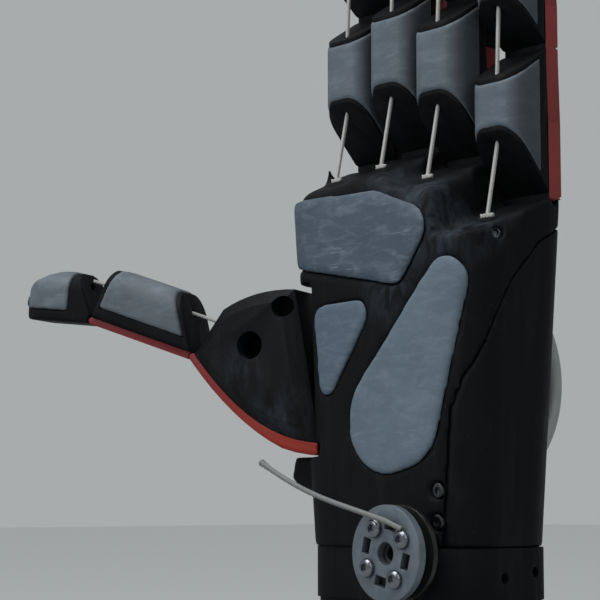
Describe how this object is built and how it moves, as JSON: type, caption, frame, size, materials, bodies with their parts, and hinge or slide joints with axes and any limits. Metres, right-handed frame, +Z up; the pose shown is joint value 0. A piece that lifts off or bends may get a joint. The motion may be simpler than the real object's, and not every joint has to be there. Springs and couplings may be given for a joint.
{
  "type": "dexterous robot hand",
  "caption": "Left-hand robot gripper hand with tendon-driven fingers and thumb, soft pads, red flexure hinges and a servo spool at the wrist.",
  "frame": {"origin": "centre of the four base screws, on the flat base of the wrist", "axes": "+Z up along the straight fingers, -Y out of the palm, -X towards the thumb"},
  "size_m": [0.1693, 0.0946, 0.2735],
  "materials": {
    "print": "black printed plastic, matte with fine layer lines",
    "cover": "black printed plastic, satin",
    "silicone": "matte grey-blue silicone",
    "flexure": "red flexible plastic, satin",
    "steel": "bright machine screws",
    "servo_case": "black moulded case",
    "spool": "dark moulded plastic",
    "smoked": "smoked clear plastic",
    "aluminium": "bead-blasted",
    "braid": "white braided cord",
    "tube": "milky tube"
  },
  "bodies": {
    "palm": {"palm_shell": "print", "back_cover": "cover", "knuckle_pad": "silicone", "thenar_pad": "silicone", "heel_pad": "silicone", "housing_screws": "steel", "wrist_housing": "print", "servo": "servo_case", "back_tube": "tube", "tendons": "braid", "tendon_bars": "braid", "strip_roots": "flexure"},
    "spool": {"spool_hub": "spool", "spool_flange": "smoked", "horn_disc": "aluminium", "horn_screws": "steel", "tendon_tail": "braid"},
    "index_proximal_link": {"index_proximal": "print", "index_proximal_pad": "silicone", "index_proximal_strip": "flexure"},
    "index_middle_link": {"index_middle": "print", "index_middle_pad": "silicone", "index_middle_strip": "flexure"},
    "index_distal_link": {"index_distal": "print", "index_distal_pad": "silicone", "index_distal_strip": "flexure"},
    "middle_proximal_link": {"middle_proximal": "print", "middle_proximal_pad": "silicone", "middle_proximal_strip": "flexure"},
    "middle_middle_link": {"middle_middle": "print", "middle_middle_pad": "silicone", "middle_middle_strip": "flexure"},
    "middle_distal_link": {"middle_distal": "print", "middle_distal_pad": "silicone", "middle_distal_strip": "flexure"},
    "ring_proximal_link": {"ring_proximal": "print", "ring_proximal_pad": "silicone", "ring_proximal_strip": "flexure"},
    "ring_middle_link": {"ring_middle": "print", "ring_middle_pad": "silicone", "ring_middle_strip": "flexure"},
    "ring_distal_link": {"ring_distal": "print", "ring_distal_pad": "silicone", "ring_distal_strip": "flexure"},
    "little_proximal_link": {"little_proximal": "print", "little_proximal_pad": "silicone", "little_proximal_strip": "flexure"},
    "little_middle_link": {"little_middle": "print", "little_middle_pad": "silicone", "little_middle_strip": "flexure"},
    "little_distal_link": {"little_distal": "print", "little_distal_pad": "silicone", "little_distal_strip": "flexure"},
    "thumb_metacarpal_link": {"thumb_metacarpal": "print", "thumb_metacarpal_strip": "flexure"},
    "thumb_proximal_link": {"thumb_proximal": "print", "thumb_proximal_pad": "silicone", "thumb_proximal_strip": "flexure"},
    "thumb_distal_link": {"thumb_distal": "print", "thumb_distal_pad": "silicone"}
  },
  "joints": [
    {"name": "index_knuckle", "type": "hinge", "parent": "palm", "child": "index_proximal_link", "pos_m": [-0.03045, 0.0092, 0.1635], "axis": [1, 0, 0], "range_deg": [0, 63], "stiffness_Nm_per_rad": 0.06, "deforming": ["tendons"]},
    {"name": "index_middle_joint", "type": "hinge", "parent": "index_proximal_link", "child": "index_middle_link", "pos_m": [-0.03045, 0.0092, 0.2125], "axis": [1, 0, 0], "range_deg": [0, 72], "stiffness_Nm_per_rad": 0.03},
    {"name": "index_end_joint", "type": "hinge", "parent": "index_middle_link", "child": "index_distal_link", "pos_m": [-0.03045, 0.0092, 0.2405], "axis": [1, 0, 0], "range_deg": [0, 50], "stiffness_Nm_per_rad": 0.02},
    {"name": "middle_knuckle", "type": "hinge", "parent": "palm", "child": "middle_proximal_link", "pos_m": [-0.00985, 0.0087, 0.165], "axis": [1, 0, 0], "range_deg": [0, 63], "stiffness_Nm_per_rad": 0.06},
    {"name": "middle_middle_joint", "type": "hinge", "parent": "middle_proximal_link", "child": "middle_middle_link", "pos_m": [-0.00985, 0.0087, 0.2165], "axis": [1, 0, 0], "range_deg": [0, 72], "stiffness_Nm_per_rad": 0.03},
    {"name": "middle_end_joint", "type": "hinge", "parent": "middle_middle_link", "child": "middle_distal_link", "pos_m": [-0.00985, 0.0087, 0.2475], "axis": [1, 0, 0], "range_deg": [0, 50], "stiffness_Nm_per_rad": 0.02},
    {"name": "ring_knuckle", "type": "hinge", "parent": "palm", "child": "ring_proximal_link", "pos_m": [0.01075, 0.0079, 0.1592], "axis": [1, 0, 0], "range_deg": [0, 63], "stiffness_Nm_per_rad": 0.06},
    {"name": "ring_middle_joint", "type": "hinge", "parent": "ring_proximal_link", "child": "ring_middle_link", "pos_m": [0.01075, 0.0079, 0.2092], "axis": [1, 0, 0], "range_deg": [0, 72], "stiffness_Nm_per_rad": 0.03},
    {"name": "ring_end_joint", "type": "hinge", "parent": "ring_middle_link", "child": "ring_distal_link", "pos_m": [0.01075, 0.0079, 0.2387], "axis": [1, 0, 0], "range_deg": [0, 50], "stiffness_Nm_per_rad": 0.02},
    {"name": "little_knuckle", "type": "hinge", "parent": "palm", "child": "little_proximal_link", "pos_m": [0.03135, 0.0113, 0.1455], "axis": [1, 0, 0], "range_deg": [0, 63], "stiffness_Nm_per_rad": 0.06},
    {"name": "little_middle_joint", "type": "hinge", "parent": "little_proximal_link", "child": "little_middle_link", "pos_m": [0.03135, 0.0113, 0.19], "axis": [1, 0, 0], "range_deg": [0, 72], "stiffness_Nm_per_rad": 0.03},
    {"name": "little_end_joint", "type": "hinge", "parent": "little_middle_link", "child": "little_distal_link", "pos_m": [0.03135, 0.0113, 0.215], "axis": [1, 0, 0], "range_deg": [0, 50], "stiffness_Nm_per_rad": 0.02},
    {"name": "thumb_root_joint", "type": "hinge", "parent": "palm", "child": "thumb_metacarpal_link", "pos_m": [-0.03, -0.012, 0.0744], "axis": [-0.4226, 0.9063, 0], "range_deg": [0, 5.5], "stiffness_Nm_per_rad": 0.4},
    {"name": "thumb_knuckle", "type": "hinge", "parent": "thumb_metacarpal_link", "child": "thumb_proximal_link", "pos_m": [-0.06951, -0.03043, 0.1029], "axis": [-0.4226, 0.9063, 0], "range_deg": [0, 49], "stiffness_Nm_per_rad": 0.06},
    {"name": "thumb_end_joint", "type": "hinge", "parent": "thumb_proximal_link", "child": "thumb_distal_link", "pos_m": [-0.10245, -0.04578, 0.11562], "axis": [-0.4226, 0.9063, 0], "range_deg": [0, 29], "stiffness_Nm_per_rad": 0.04},
    {"name": "spool_turn", "type": "hinge", "parent": "palm", "child": "spool", "pos_m": [0.0165, -0.03, 0.0436], "axis": [0, 1, 0], "range_deg": [0, 180]}
  ],
  "couplings": [
    {"joint": "index_middle_joint", "follows": "index_knuckle", "ratio": 1.1428},
    {"joint": "index_end_joint", "follows": "index_knuckle", "ratio": 0.7936},
    {"joint": "middle_middle_joint", "follows": "middle_knuckle", "ratio": 1.1428},
    {"joint": "middle_end_joint", "follows": "middle_knuckle", "ratio": 0.7936},
    {"joint": "ring_middle_joint", "follows": "ring_knuckle", "ratio": 1.1428},
    {"joint": "ring_end_joint", "follows": "ring_knuckle", "ratio": 0.7936},
    {"joint": "little_middle_joint", "follows": "little_knuckle", "ratio": 1.1428},
    {"joint": "little_end_joint", "follows": "little_knuckle", "ratio": 0.7936},
    {"joint": "thumb_root_joint", "follows": "thumb_knuckle", "ratio": 0.1122},
    {"joint": "thumb_end_joint", "follows": "thumb_knuckle", "ratio": 0.5918}
  ]
}
